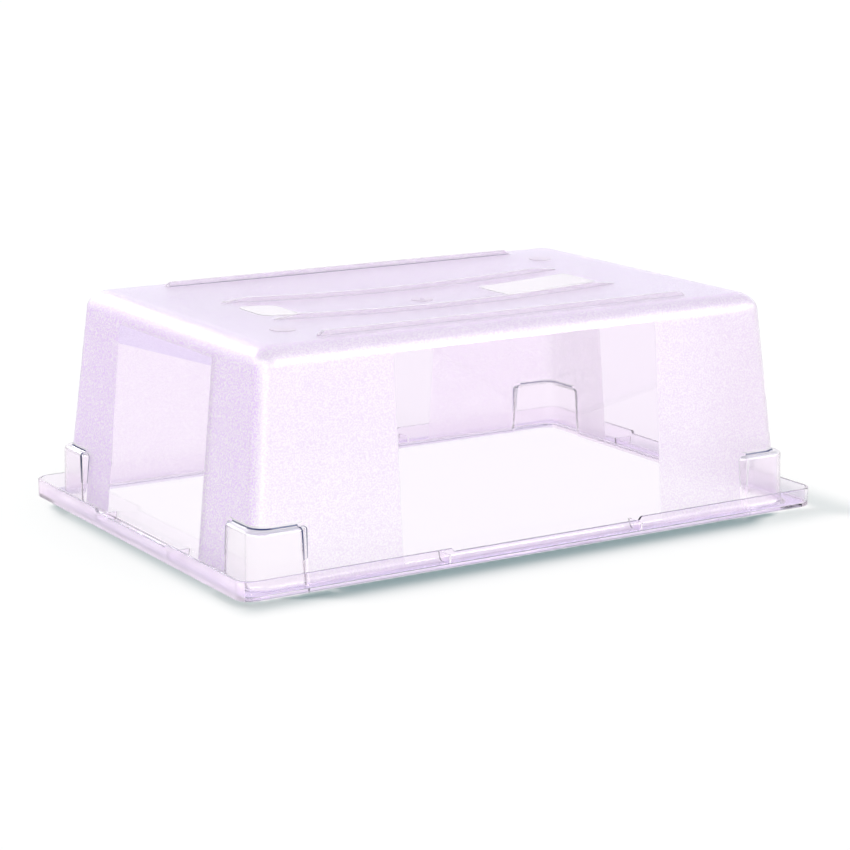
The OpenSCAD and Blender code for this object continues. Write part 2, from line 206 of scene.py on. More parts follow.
def side_places(long, ends, proud):
    """Where each mark on a side lies, as (along, out)."""
    low_half = LOW_HALF_LONG if long else LOW_HALF_SHORT
    places = {"middle": (0.0, 0.0), "web_near": (low_half, 0.0), "web_far": (low_half + WEB_THICK, 0.0)}
    for i, name in enumerate(STEP_MARKS):
        places[name] = (low_half - (SKIRT_HIGH - SKIRT_LOW) * (1 - i / STEP_PARTS), 0.0)
    places.update(zip(END_MARKS, end_points(*ends[0 if long else 1], proud)))
    return places


def ring(half_long, half_wide, r, ends, proud=0.0, square=False):
    """Rounded rectangle, which stands proud from each lug's face to the corner. ends holds the foot and
    face of a lug's end, on long and on short sides."""
    places = [side_places(long, ends, proud) for long in (True, False)]
    points = []
    for part, q, *place in COLUMNS:
        if part == "corner":
            points.append(corner_point(q, place[0], half_long + proud, half_wide + proud, r, square))
        else:
            mark, sign = place
            along, out = places[q % 2][mark]
            points.append(turned(q, sign * along, out + (half_long if q % 2 else half_wide)))
    return points


def wall_line(z):
    """How far the wall's outer face has drawn in from its foot at height z, less the flange's fillet."""
    rise = RIM_THICK + WALL_FOOT_R - z
    fillet = WALL_FOOT_R - sqrt(WALL_FOOT_R**2 - rise**2) if rise > 0 else 0.0
    return z * tan(WALL_DRAFT) - fillet


def foot_levels():
    """Heights up the hollow at the walls' foot."""
    return [RIM_THICK + WALL_FOOT_R * (1 - cos(a)) for a in ROUND_ANGLES]


def lug_face(half, z):
    """How far along a side a lug's face starts at height z."""
    return half - LUG_REACH - (LUG_HIGH - z) * tan(LUG_END_LEAN)


def lug_ends(z, proud, inset):
    """Where a lug's end meets the wall and where its face starts, on the long and the short sides."""
    shift = inset * (1 / cos(LUG_END_ANGLE) - tan(LUG_END_ANGLE))
    faces = [lug_face(half, z) + shift for half in (HALF_LONG, HALF_WIDE)]
    return [(f - max(proud * tan(LUG_END_ANGLE), LUG_END_SHORTEST), f) for f in faces]


def lug_level(z, skin, inset=0.0, share=1.0):
    """Ring of the outer surface at height z, or of the inner one where skin is the wall's. The lugs are
    drawn in by inset, and stand out from the wall by only a share of the rest."""
    drawn = z * tan(WALL_DRAFT) + skin
    flare = 0.0 if skin else drawn - wall_line(z)
    # A lug's face starts from the wall's foot and has its own draft.
    whole = LUG_PROUD - z * tan(LUG_DRAFT) + drawn - inset
    proud = whole * share
    wall_r = WALL_CORNER_R - (WALL_THICK if skin else 0.0)
    r = (LUG_CORNER_R - inset) * share + wall_r * (1 - share) + flare
    ends = lug_ends(min(z, LUG_HIGH), proud, inset + whole - proud)
    return ring(TUB_LONG - drawn + flare, TUB_WIDE - drawn + flare, r, ends, proud)


def outer_level(z, inset=0.0):
    """Ring of the walls and lugs outside."""
    return lug_level(z, 0.0, inset)


def inner_level(z, inset=0.0):
    """Ring of the walls and hollow lugs inside."""
    return lug_level(z, SKIN_INSET, inset + LUG_THICK)


def plain_level(z, drawn, r, square=False):
    """Ring above the lugs, whose marks run on up the wall."""
    share = (z - LUG_HIGH) / (BASE_HIGH - LUG_HIGH)
    faces = [lug_face(half, LUG_HIGH) - MARKS_DRIFT * share for half in (HALF_LONG, HALF_WIDE)]
    ends = [(face - MARKS_WIDE, face) for face in faces]
    return ring(TUB_LONG - drawn, TUB_WIDE - drawn, r, ends, square=square)


def dish(x, y):
    """Height of the base's outer face."""
    u = max(0.0, 1 - (x / DISH_LONG) ** 2)
    v = max(0.0, 1 - (y / DISH_WIDE) ** 2)
    return BASE_HIGH - DISH_DEPTH * (u * v) ** DISH_POWER


def on_dish(points, rise=0.0):
    """Points (x, y) laid on the dished base, or that much above it."""
    return [(x, y, dish(x, y) + rise) for x, y in points]


# Solids as lists of points, faces and what each face is


class Solid:
    """Points, faces of their numbers, and the kind of each face."""

    def __init__(self):
        self.points, self.faces, self.kinds = [], [], []

    def add(self, points):
        start = len(self.points)
        self.points += [tuple(p) for p in points]
        return list(range(start, len(self.points)))

    def face(self, corners, kind):
        self.faces.append(tuple(corners))
        self.kinds.append(kind)


def thick(top, bottom, faces, kinds, edge_kind=lambda i, j: JOINT):
    """Solid between two sheets with the same faces. The top's have these kinds, the bottom's are clear.
    edge_kind is a function of an edge's two points."""
    solid = Solid()
    a, b = solid.add(top), solid.add(bottom)
    directed = set()
    for f, kind in zip(faces, kinds):
        solid.face([a[i] for i in f], kind)
        solid.face([b[i] for i in reversed(f)], CLEAR)
        directed.update(zip(f, [*f[1:], f[0]]))
    for i, j in sorted(directed):
        if (j, i) not in directed:
            solid.face([a[j], a[i], b[i], b[j]], edge_kind(i, j))
    return solid


def band(rings, kind):
    """Closed band through a loop of rings of 3-D points. kind is a function of (ring, column)."""
    solid = Solid()
    laid = [solid.add(r) for r in rings]
    for k, a in enumerate(laid):
        b = laid[(k + 1) % len(laid)]
        n = len(a)
        for j in range(n):
            solid.face([a[j], a[(j + 1) % n], b[(j + 1) % n], b[j]], kind(k, j))
    return solid


def lofted(sections, side_kind, cap_kind):
    """Solid through sections, with a flat cap at each end. side_kind is a function of a side's number."""
    solid = Solid()
    laid = [solid.add(s) for s in sections]
    n = len(laid[0])
    for a, b in zip(laid, laid[1:]):
        for j in range(n):
            solid.face([a[j], a[(j + 1) % n], b[(j + 1) % n], b[j]], side_kind(j))
    solid.face(reversed(laid[0]), cap_kind)
    solid.face(laid[-1], cap_kind)
    return solid


def used_points(solid):
    """The same solid without the points that no face uses."""
    kept = sorted({i for f in solid.faces for i in f})
    number = {old: new for new, old in enumerate(kept)}
    solid.points = [solid.points[i] for i in kept]
    solid.faces = [tuple(number[i] for i in f) for f in solid.faces]
    return solid


def raised(ring_points, z):
    """A ring at a height."""
    return [(x, y, z) for x, y in ring_points]


def in_scene(name, data):
    made = bpy.data.objects.new(name, data)
    bpy.context.scene.collection.objects.link(made)
    return made


def make_piece(name, solid, node, sharp=SHARP_ANGLE):
    """A Blender object from a solid, which stands for a CAD node."""
    mesh = bpy.data.meshes.new(name)
    work = bmesh.new()
    verts = [work.verts.new([v * MM for v in p]) for p in solid.points]
    for f, kind in zip(solid.faces, solid.kinds):
        face = work.faces.new([verts[i] for i in f])
        face.material_index = kind
        face.smooth = True
    bmesh.ops.remove_doubles(work, verts=work.verts, dist=MERGED * MM)
    bmesh.ops.dissolve_degenerate(work, edges=work.edges, dist=MERGED * MM)
    bmesh.ops.recalc_face_normals(work, faces=work.faces)
    for edge in work.edges:
        kinds = {f.material_index for f in edge.link_faces}
        joint_rim = JOINT in kinds and len(kinds) > 1
        edge.smooth = edge.calc_face_angle(0.0) < radians(sharp) and not joint_rim
    work.to_mesh(mesh)
    work.free()
    for material in MATERIALS:
        mesh.materials.append(material)
    piece = in_scene(name, mesh)
    piece.modifiers.new("even_shading", "WEIGHTED_NORMAL").keep_sharp = True
    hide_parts(node)
    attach(piece, "root")


def make_moulded(node, solid, sharp=SHARP_ANGLE):
    """A piece that is named after its node."""
    make_piece(f"{node}_moulded", solid, node, sharp)


# Materials


class Nodes:
    """Short ways to add nodes to one material."""

    def __init__(self, tree):
        self.tree = tree

    def add(self, kind, inputs=(), **settings):
        node = self.tree.nodes.new(kind)
        for key, value in settings.items():
            setattr(node, key, value)
        for key, value in dict(inputs).items():
            if isinstance(value, bpy.types.NodeSocket):
                self.tree.links.new(value, node.inputs[key])
            else:
                node.inputs[key].default_value = value
        return node

    def math(self, operation, a, b=0.0, c=0.0):
        return self.add("ShaderNodeMath", {0: a, 1: b, 2: c}, operation=operation).outputs[0]

    def times(self, a, b):
        return self.math("MULTIPLY", a, b)

    def most(self, a, b):
        return self.math("MAXIMUM", a, b)

    def mix(self, share, a, b):
        return self.add("ShaderNodeMix", {0: share, 2: a, 3: b}, data_type="FLOAT").outputs[0]

    def blend(self, share, a, b):
        return self.add("ShaderNodeMix", {0: share, 6: a, 7: b}, data_type="RGBA").outputs[2]

    def stretch(self, value, low, high):
        """0 at low and 1 at high."""
        inputs = {"Value": value, "From Min": low, "From Max": high}
        return self.add("ShaderNodeMapRange", inputs).outputs[0]

    def noise(self, place, scale, detail=2.0, roughness=0.5):
        inputs = {"Vector": place, "Scale": scale, "Detail": detail, "Roughness": roughness}
        return self.add("ShaderNodeTexNoise", inputs).outputs["Fac"]

    def split(self, vector):
        return self.add("ShaderNodeSeparateXYZ", {0: vector}).outputs

    def place(self):
        """Where a point of the piece is, in metres."""
        return self.add("ShaderNodeTexCoord").outputs["Object"]

    def facing(self):
        """Which way the surface faces, as x, y and z."""
        return self.split(self.add("ShaderNodeNewGeometry").outputs["Normal"])

    def plastic(self, inputs):
        return self.add("ShaderNodeBsdfPrincipled", {"IOR": PLASTIC_IOR, **inputs}).outputs[0]


def new_material(name):
    """An empty material and its nodes."""
    material = bpy.data.materials.new(name)
    material.use_nodes = True
    material.node_tree.nodes.clear()
    return material, Nodes(material.node_tree)


# Suns: elevation, azimuth (0 is +X, 90 is +Y), irradiance, softness, whether they cast shadows
SUNS = {
    "key_back_right": (52.0, 45.0, 1.90, 9.0, True),
    "key_back_left": (52.0, 122.0, 0.98, 9.0, True),
    "fill_front": (10.0, -68.0, 1.60, 50.0, False),
}
WHITE = (1.0, 1.0, 1.0, 1.0)
# Light's tint through plastic, the deeper one between heights that it fades in and out over
LIGHT_SHADE = (0.998, 0.996, 0.998, 1.0)
DEEP_SHADE = (0.05, 0.16, 0.18, 1.0)
SUN_BAND = (31.0, 34.0, 73.0, 129.0)
SIDE_STRETCH = 0.45
SKY_BAND = (0.0, 3.0, 80.0, 140.0)
PLASTIC_IOR = 1.45
# Turns that light takes in the plastic before it goes straight on out
MOST_TURNS = 9.5
# Tints of the textured plastic between its grains and on them: the walls, and painted shade on the left
# wall and on the base
FROST_LIGHT, FROST_DARK = (1.0, 0.95, 1.0, 1.0), (0.83, 0.70, 0.89, 1.0)
LEFT_PAINTED_SHADE_PALE, LEFT_PAINTED_SHADE_DEEP = (1.0, 0.97, 1.0, 1.0), (0.77, 0.50, 0.98, 1.0)
BASE_PAINTED_SHADE_PALE, BASE_PAINTED_SHADE_DEEP = (1.0, 0.94, 1.0, 1.0), (0.93, 0.73, 1.0, 1.0)
# The grain, the slow drift of tint, and the roughness: between grains, more on them, and in windows
GRAIN_SCALE, GRAIN_DETAIL, GRAIN_HARSH, GRAIN_RANGE = 620.0, 3.0, 0.75, (0.44, 0.56)
GRAIN_BUMP = 0.08
DRIFT_SCALE, DRIFT_SHARE = 18.0, 0.2
FROST_ROUGH, GRAIN_ROUGH, WINDOW_ROUGH = 0.36, 0.10, 0.02
FROST_COAT, FROST_COAT_ROUGH = 0.7, 0.12
WALL_PASSES, BASE_PASSES = 0.70, 0.45
# Parts of a unit normal between which a surface counts as level, as the base, or as turned to a side
LEVEL_RANGE, BASE_RANGE, SIDE_RANGE = (0.2, 0.6), (0.3, 0.8), (0.68, 0.50)
LEVEL_TURN, WALL_FACING = 0.25, 0.8
# Waves, scuffs and wear of the polished plastic
WAVE_SCALE, WAVE_STRENGTH, WAVE_BUMP = 22.0, 0.10, 0.5
SCUFF_SCALE, SCUFF_DETAIL, SCUFF_ROUGH, WORN = 260.0, 4.0, 0.04, 0.985
COAT_ROUGH = 0.06
CLEAR_TINT = (0.965, 0.918, 0.98, 1.0)
SATIN_TINT = (0.98, 0.91, 0.99, 1.0)
# Painted highlight: a whitish, half-diffuse plastic on the lugs' top rounds, on the wall just above them
# and on the smooth panels
PAINTED_GLINT_TINT = (0.98, 0.94, 1.0, 1.0)
# The misty plastic's tint, and the strength of its faint emission, which is painted light
MIST_TINT, MIST_PAINTED_GLOW = (1.0, 0.88, 1.0, 1.0), 0.10
# A deeper tint on the flange's top and underside and on the skirt's foot, which is painted shade
FLANGE_PAINTED_SHADE_TINT = (0.80, 0.70, 0.93, 1.0)
# Painted shade in edge strips: dark in a band on the lugs, fainter at the rim's foot, and towards the top
# of the back
PAINTED_SHADE_EDGE_PALE, PAINTED_SHADE_EDGE_DEEP = (0.80, 0.74, 0.88, 1.0), (0.02, 0.03, 0.12, 1.0)
LUG_EDGE_BAND = (14.0, 44.0, 60.0, 150.0)
RIM_EDGE_HIGH, RIM_EDGE_SHARE = 5.0, 0.35
BACK_EDGE_HIGH, BACK_EDGE_FAR, BACK_EDGE_SHARE = (150.0, 200.0), (80.0, 140.0), 0.7
SPECK_SCALE, EDGE_ROUGH, EDGE_PASSES = 300.0, 0.1, 0.25
# Painted shade in a deeper strip at the top of the left window: height in the middle, fall along the wall,
# softness
STRIP_HIGH, STRIP_FALL, STRIP_SOFT = 182.3, 0.059, 0.4
PAINTED_SHADE_STRIP_TINT = (0.72, 0.64, 0.90, 1.0)


def band_share(nodes, z, band):
    """1 between the middle two of four heights, and falling to 0 at the outer two."""
    low, start, end, high = (v * MM for v in band)
    return nodes.times(nodes.stretch(z, low, start), nodes.stretch(z, high, end))


def shadow_tint(nodes, path, z):
    """Tint of light to the floor, held back in a band above the rim, where frosted plastic scatters it."""
    nx = nodes.facing()[0]
    height = nodes.times(z, nodes.math("MULTIPLY_ADD", nx, -SIDE_STRETCH, 1.0))
    sun = nodes.times(path["Is Shadow Ray"], band_share(nodes, height, SUN_BAND))
    sky = nodes.times(path["Is Diffuse Ray"], band_share(nodes, z, SKY_BAND))
    inside = nodes.add("ShaderNodeNewGeometry").outputs["Backfacing"]
    share = nodes.times(nodes.most(sun, sky), nodes.math("SUBTRACT", 1.0, inside))
    return nodes.blend(share, LIGHT_SHADE, DEEP_SHADE)


def let_light_through(nodes, surface, z=None):
    """Lamps shine through the plastic. Where its height z is given, it shades the floor."""
    path = nodes.add("ShaderNodeLightPath").outputs
    tint = LIGHT_SHADE if z is None else shadow_tint(nodes, path, z)
    clear = nodes.add("ShaderNodeBsdfTransparent", {"Color": tint})
    passing = nodes.most(path["Is Shadow Ray"], path["Is Diffuse Ray"])
    passing = nodes.most(passing, nodes.math("GREATER_THAN", path["Ray Depth"], MOST_TURNS))
    mixed = nodes.add("ShaderNodeMixShader", {0: passing, 1: surface, 2: clear.outputs[0]})
    nodes.add("ShaderNodeOutputMaterial", {"Surface": mixed.outputs[0]})


def window_mask(nodes, along, up, facing, window):
    """1 inside a smooth window with round upper corners, on the walls that face that way."""
    half, top, r = (v * MM for v in window)
    side = nodes.most(nodes.math("SUBTRACT", nodes.math("ABSOLUTE", along), half - r), 0.0)
    rise = nodes.most(nodes.math("SUBTRACT", up, top - r), 0.0)
    squares = nodes.math("ADD", nodes.times(side, side), nodes.times(rise, rise))
    out = nodes.math("SUBTRACT", nodes.math("SQRT", squares), r)
    soft = WINDOW_SOFT * MM
    inputs = {"Value": out, "From Min": -soft, "From Max": soft, "To Min": 1.0, "To Max": 0.0}
    inside = nodes.add("ShaderNodeMapRange", inputs).outputs[0]
    faces = nodes.math("GREATER_THAN", nodes.math("ABSOLUTE", facing), WALL_FACING)
    return nodes.times(inside, faces)


def window_masks(nodes, place, facing):
    """1 inside any window, and 1 inside those of the two short walls."""
    x, y, z = place
    short = window_mask(nodes, y, z, facing[0], SHORT_WINDOW)
    at_back = nodes.math("GREATER_THAN", y, 0.0)
    along = nodes.math("MULTIPLY_ADD", at_back, BACK_NARROW * MM, nodes.math("ABSOLUTE", x))
    return nodes.most(window_mask(nodes, along, z, facing[1], LONG_WINDOW), short), short


def frost_tint(nodes, x, facing, grain, drift):
    """Tint of the grained plastic, which painted shade makes deeper on the base and on the left wall."""
    _, ny, nz = facing
    shade = nodes.math("MULTIPLY_ADD", drift, DRIFT_SHARE, nodes.times(grain, 1 - DRIFT_SHARE))
    level = nodes.stretch(nodes.math("ABSOLUTE", nz), *LEVEL_RANGE)
    away = nodes.most(level, nodes.math("LESS_THAN", x, 0.0))
    side = nodes.math("MULTIPLY_ADD", level, LEVEL_TURN, nodes.math("ABSOLUTE", ny))
    # Painted shade: level faces take the base's deeper tint, and faces on the left that are not turned to
    # the front or back take the left wall's.
    painted_shade_share = nodes.times(away, nodes.stretch(side, *SIDE_RANGE))
    left, base = nodes.blend(shade, LEFT_PAINTED_SHADE_PALE, LEFT_PAINTED_SHADE_DEEP), nodes.blend(shade, BASE_PAINTED_SHADE_PALE, BASE_PAINTED_SHADE_DEEP)
    plain = nodes.blend(shade, FROST_LIGHT, FROST_DARK)
    return nodes.blend(painted_shade_share, plain, nodes.blend(level, left, base))


def polished_tint(nodes, place, nx, short_window):
    """Tint of the windows, with a deeper strip of painted shade at the top of the left one."""
    _, y, z = place
    line = nodes.math("MULTIPLY_ADD", y, -STRIP_FALL, STRIP_HIGH * MM)
    strip = nodes.stretch(nodes.math("SUBTRACT", z, line), -STRIP_SOFT * MM, STRIP_SOFT * MM)
    strip = nodes.times(strip, nodes.math("LESS_THAN", nx, 0.0))
    return nodes.blend(nodes.times(strip, short_window), CLEAR_TINT, PAINTED_SHADE_STRIP_TINT)


def textured_plastic():
    """Clear plastic with a fine moulded grain outside, polished in the windows."""
    material, nodes = new_material("textured_plastic")
    at = nodes.place()
    place, facing = nodes.split(at), nodes.facing()
    window, short_window = window_masks(nodes, place, facing)
    grain = nodes.stretch(nodes.noise(at, GRAIN_SCALE, GRAIN_DETAIL, GRAIN_HARSH), *GRAIN_RANGE)
    tint = frost_tint(nodes, place[0], facing, grain, nodes.noise(at, DRIFT_SCALE))
    frost = nodes.math("SUBTRACT", 1.0, window)
    roughness = nodes.math("MULTIPLY_ADD", grain, GRAIN_ROUGH, FROST_ROUGH)
    passes = nodes.mix(nodes.stretch(facing[2], *BASE_RANGE), WALL_PASSES, BASE_PASSES)
    bump = nodes.add("ShaderNodeBump", {"Strength": frost, "Distance": GRAIN_BUMP * MM, "Height": grain})
    surface = nodes.plastic(
        {
            "Base Color": nodes.blend(window, tint, polished_tint(nodes, place, facing[0], short_window)),
            "Roughness": nodes.mix(window, roughness, WINDOW_ROUGH),
            "Transmission Weight": nodes.mix(window, passes, 1.0),
            "Coat Weight": nodes.times(frost, FROST_COAT),
            "Coat Roughness": FROST_COAT_ROUGH,
            "Coat Normal": bump.outputs[0],
            "Normal": bump.outputs[0],
        }
    )
    let_light_through(nodes, surface, place[2])
    return material


def smooth_plastic(name, tint, roughness, transmission, coat=0.0, shaded=False, painted_glow=0.0):
    """Polished plastic, faintly wavy and scuffed. It may be given a faint emission in its own tint, which
    is painted light.
    """
    material, nodes = new_material(name)
    at = nodes.place()
    scuff = nodes.noise(at, SCUFF_SCALE, SCUFF_DETAIL)
    wave = nodes.noise(at, WAVE_SCALE, 1.0)
    inputs = {"Strength": WAVE_STRENGTH, "Distance": WAVE_BUMP * MM, "Height": wave}
    bump = nodes.add("ShaderNodeBump", inputs)
    worn = tuple(v * WORN for v in tint[:3]) + (1.0,)
    surface = nodes.plastic(
        {
            "Base Color": nodes.blend(scuff, tint, worn),
            "Roughness": nodes.math("MULTIPLY_ADD", scuff, SCUFF_ROUGH, roughness),
            "Transmission Weight": transmission,
            "Coat Weight": coat,
            "Coat Roughness": COAT_ROUGH,
            "Emission Color": tint,
            "Emission Strength": painted_glow,
            "Normal": bump.outputs[0],
        }
    )
    let_light_through(nodes, surface, nodes.split(at)[2] if shaded else None)
    return material


def painted_shade_edge_plastic():
    """Thin strip of the plastic painted dark as shade along a sharp corner, more so higher up."""
    material, nodes = new_material("painted_shade_edge_plastic")
    at = nodes.place()
    _, y, z = nodes.split(at)
    lugs = band_share(nodes, z, LUG_EDGE_BAND)
    high = nodes.stretch(z, *(v * MM for v in BACK_EDGE_HIGH))
    back = nodes.times(high, nodes.stretch(y, *(v * MM for v in BACK_EDGE_FAR)))
    back = nodes.times(back, BACK_EDGE_SHARE)
    rim = nodes.times(nodes.math("LESS_THAN", z, RIM_EDGE_HIGH * MM), RIM_EDGE_SHARE)
    dark = nodes.most(lugs, nodes.most(rim, back))
    surface = nodes.plastic(
        {
            "Base Color": nodes.blend(dark, PAINTED_SHADE_EDGE_PALE, PAINTED_SHADE_EDGE_DEEP),
            "Roughness": nodes.math("MULTIPLY_ADD", nodes.noise(at, SPECK_SCALE), EDGE_ROUGH, EDGE_ROUGH),
            "Transmission Weight": EDGE_PASSES,
        }
    )
    let_light_through(nodes, surface)
    return material


def white_material(name, kind):
    """A material of one white shader."""
    material, nodes = new_material(name)
    nodes.add("ShaderNodeOutputMaterial", {"Surface": nodes.add(kind, {"Color": WHITE}).outputs[0]})
    return material


# In the order of the kinds of face, with roughness and transmission. A joint lets light straight on.
MATERIALS = [
    textured_plastic(),
    smooth_plastic("clear_plastic", CLEAR_TINT, 0.01, 1.0),
    white_material("joint_plastic", "ShaderNodeBsdfTransparent"),
    smooth_plastic("satin_plastic", SATIN_TINT, 0.22, 0.94, coat=0.5, shaded=True),
    # The flange plastic's deeper tint is painted shade.
    smooth_plastic("flange_painted_shade_plastic", FLANGE_PAINTED_SHADE_TINT, 0.02, 1.0),
    painted_shade_edge_plastic(),
    # The glint plastic is a painted highlight.
    smooth_plastic("painted_glint_plastic", PAINTED_GLINT_TINT, 0.12, 0.45),
    smooth_plastic("mist_plastic", MIST_TINT, 0.32, 0.80, painted_glow=MIST_PAINTED_GLOW),
]


# Walls and lugs


def lug_rings():
    """Paired rings of the outer and the inner surface, from the flange up over the lugs."""
    shoulder, ceiling = LUG_HIGH - LUG_ROUND, LUG_HIGH - LUG_THICK
    hollow_r = LUG_ROUND - LUG_THICK
    low = [*foot_levels(), WEB_HIGH, MIST_HIGH, LUG_MIDDLE, shoulder]
    outer = [raised(outer_level(z), z) for z in low]
    inner = [raised(inner_level(z), z) for z in low]
    for a in ROUND_ANGLES[1:]:
        z, inset = shoulder + LUG_ROUND * sin(a), LUG_ROUND * (1 - cos(a))
        outer.append(raised(outer_level(z, inset), z))
        z, inset = ceiling - hollow_r + hollow_r * sin(a), hollow_r * (1 - cos(a))
        inner.append(raised(inner_level(z, inset), z))
    ledge = LUG_PROUD + LUG_HIGH * (tan(WALL_DRAFT) - tan(LUG_DRAFT)) - LUG_ROUND
    for i, a in enumerate(ROUND_ANGLES, start=1):
        z, share = LUG_HIGH + SHOULDER_R * (1 - cos(a)), SHOULDER_R * (1 - sin(a)) / ledge
        outer.append(raised(lug_level(z, 0.0, LUG_ROUND, share), z))
        z = ceiling + CEILING_RISE * i / (ROUND_STEPS + 1)
        inner.append(raised(lug_level(z, SKIN_INSET, LUG_THICK + hollow_r, 1 - i / (ROUND_STEPS + 1)), z))
    return outer, inner


def wall_rings():
    """The paired rings up to the base, how many belong to the lugs, and the base's outline."""
    outer, inner = lug_rings()
    lug_levels = len(outer) - 1
    for z in WALL_LEVELS:
        drawn = z * tan(WALL_DRAFT)
        outer.append(raised(plain_level(z, drawn, WALL_CORNER_R), z))
        inner.append(raised(plain_level(z, drawn + SKIN_INSET, WALL_CORNER_R - WALL_THICK), z))
    for i in range(EDGE_STEPS + 1):
        share = i / EDGE_STEPS
        a = WALL_DRAFT + (pi / 2 - WALL_DRAFT) * share
        corner = WALL_CORNER_R + (BASE_CORNER_R - WALL_CORNER_R) * share
        for rings, r, skin in ((outer, BASE_EDGE_R, 0.0), (inner, BASE_EDGE_R - WALL_THICK, WALL_THICK)):
            z, drawn = BASE_HIGH - BASE_EDGE_R + r * sin(a), EDGE_INSET - r * cos(a)
            rings.append(raised(plain_level(z, drawn, corner - skin * (1 - share)), z))
    margin = plain_level(BASE_HIGH, EDGE_INSET + DISH_MARGIN, BASE_CORNER_R, square=True)
    outer.append(raised(margin, BASE_HIGH))
    inner.append(raised(margin, BASE_HIGH - WALL_THICK))
    return outer, inner, lug_levels, margin


def lug_number(j):
    """Which lug the cell after column j belongs to, or None."""
    a, b = COLUMNS[j], COLUMNS[(j + 1) % COUNT]
    if a[0] == "corner":
        return a[1]
    if b[0] == "corner":
        return b[1]
    if a[2] in END_MARKS and b[2] in END_MARKS:
        return a[1] if a[3] == 1 else (a[1] + 1) % 4
    return None


def at_lug_end(j):
    """True for the cell after column j at the foot of a lug's end or round its face's edge."""
    pair = {COLUMNS[j][2:3], COLUMNS[(j + 1) % COUNT][2:3]}
    return pair in [{(END_MARKS[i],), (END_MARKS[i + 1],)} for i in (0, 3, 4)]


def under_web(j):
    """True for the cell after column j if a web stands there."""
    a, b = COLUMNS[j], COLUMNS[(j + 1) % COUNT]
    return a[0] == b[0] == "side" and {a[2], b[2]} == {"web_near", "web_far"}


def wall_cells(levels, lug_levels, wanted):
    """Cells of one lug, or of the walls where wanted is None, as (ring, column, corners)."""
    made = []
    for k in range(levels - 1):
        for j in range(COUNT):
            lug = lug_number(j) if k < lug_levels else None
            if lug == wanted:
                n, a, b = (j + 1) % COUNT, k * COUNT, (k + 1) * COUNT
                made.append((k, j, (a + j, a + n, b + n, b + j)))
    return made


def last_level(rings, high):
    """Number of the last ring that is no higher."""
    return [i for i, r in enumerate(rings) if r[0][2] <= high + TINY][-1]


def make_walls():
    """The walls with the base's margin, and the four lugs. Returns the base's outline."""
    outer, inner, lug_levels, margin = wall_rings()
    top = [p for r in outer for p in r]
    bottom = [p for r in inner for p in r]
    web_level, mist_level = last_level(outer, WEB_HIGH), last_level(outer, MIST_HIGH)
    painted_glint_level, painted_shade_level = last_level(outer, LUG_HIGH - LUG_ROUND / 2), lug_levels - ROUND_STEPS // 2

    def kind(k, j, number):
        if under_web(j) and k < web_level:
            return JOINT
        if number is None:
            # The band of wall just above the lugs has a painted highlight.
            return PAINTED_GLINT if k == lug_levels and lug_number(j) is not None else TEXTURED
        # The lugs' shoulder rounds and the edges of their ends are strips of painted shade.
        if k >= painted_shade_level:
            return PAINTED_SHADE_EDGE
        if at_lug_end(j):
            if k < mist_level:
                return MIST
            # The front right lug's end on the front side has a painted highlight.
            return PAINTED_GLINT if COLUMNS[j][1] == 2 and number == 3 else PAINTED_SHADE_EDGE
        # The upper half of a lug's top round has a painted highlight, and the rest of its face is satin.
        return PAINTED_GLINT if k >= painted_glint_level else SATIN

    for number in (None, 0, 1, 2, 3):
        cells = wall_cells(len(outer), lug_levels, number)
        kinds = [kind(k, j, number) for k, j, _ in cells]
        faces = [corners for _, _, corners in cells]
        solid = used_points(thick(top, bottom, faces, kinds))
        if number is None:
            make_piece("tub_walls", solid, "wall_shell")
        else:
            # The CAD counts its lugs anticlockwise from -X -Y, and the quarters here start from +X +Y.
            make_moulded(f"corner_lug_{(number + 2) % 4 + 1}", solid)
    return margin


# Rim


def rim_ring(inset, height, top=None):
    """Ring of the rim, inset from its edge. A top's height follows the skirt's low stretches."""
    ends = lug_ends(RIM_THICK, LUG_PROUD, 0.0)
    points = ring(HALF_LONG - inset, HALF_WIDE - inset, RIM_CORNER_R - inset, ends)
    steps = {"middle": 0.0, **{m: i / STEP_PARTS for i, m in enumerate(STEP_MARKS)}} if top else {}
    made = []
    for column, (x, y) in zip(COLUMNS, points):
        t = steps.get(column[2], 1.0)
        made.append((x, y, height - (SKIRT_HIGH - SKIRT_LOW) * (1 - t * t * (3 - 2 * t))))
    return made


def make_flange():
    """The flat flange round the mouth, with the mouth's small round."""
    z = RIM_THICK
    mouth = inner_level(z)
    rings = [raised(mouth, z), raised(mouth, MOUTH_EDGE_R)]
    for a in quarter(MOUTH_STEPS)[1:]:
        out = MOUTH_EDGE_R * (1 - cos(a))
        drawn = z * tan(WALL_DRAFT) + SKIN_INSET - out
        proud = LUG_PROUD - z * tan(LUG_DRAFT) + drawn - LUG_THICK + out
        ends = lug_ends(z, proud, LUG_THICK)
        edge = ring(TUB_LONG - drawn, TUB_WIDE - drawn, LUG_CORNER_R - LUG_THICK + out, ends, proud)
        rings.append(raised(edge, MOUTH_EDGE_R * (1 - sin(a))))
    rings += [rim_ring(RIM_FOOT, 0.0), rim_ring(RIM_FOOT, z), raised(outer_level(z), z)]
    joint, gutter = len(rings) - 3, len(rings) - 2

    def kind(k, j):
        if k in (joint, len(rings) - 1) or (k == gutter and under_web(j)):
            return JOINT
        # The flange's top and underside have a deeper tint of painted shade.
        return DEEP_PAINTED_SHADE if k in (gutter, joint - 1) else CLEAR

    make_piece("mouth_flange", band(rings, kind), "rim_flange")


def on_end(j, side):
    """True for the cell after column j on that short side, or round the near half of its corners."""
    part, q, place = COLUMNS[j][:3]
    if part == "side":
        return q == side
    half = CORNER_STEPS // 2
    return (q == side and place >= half) or (q == (side + 1) % 4 and place < half)


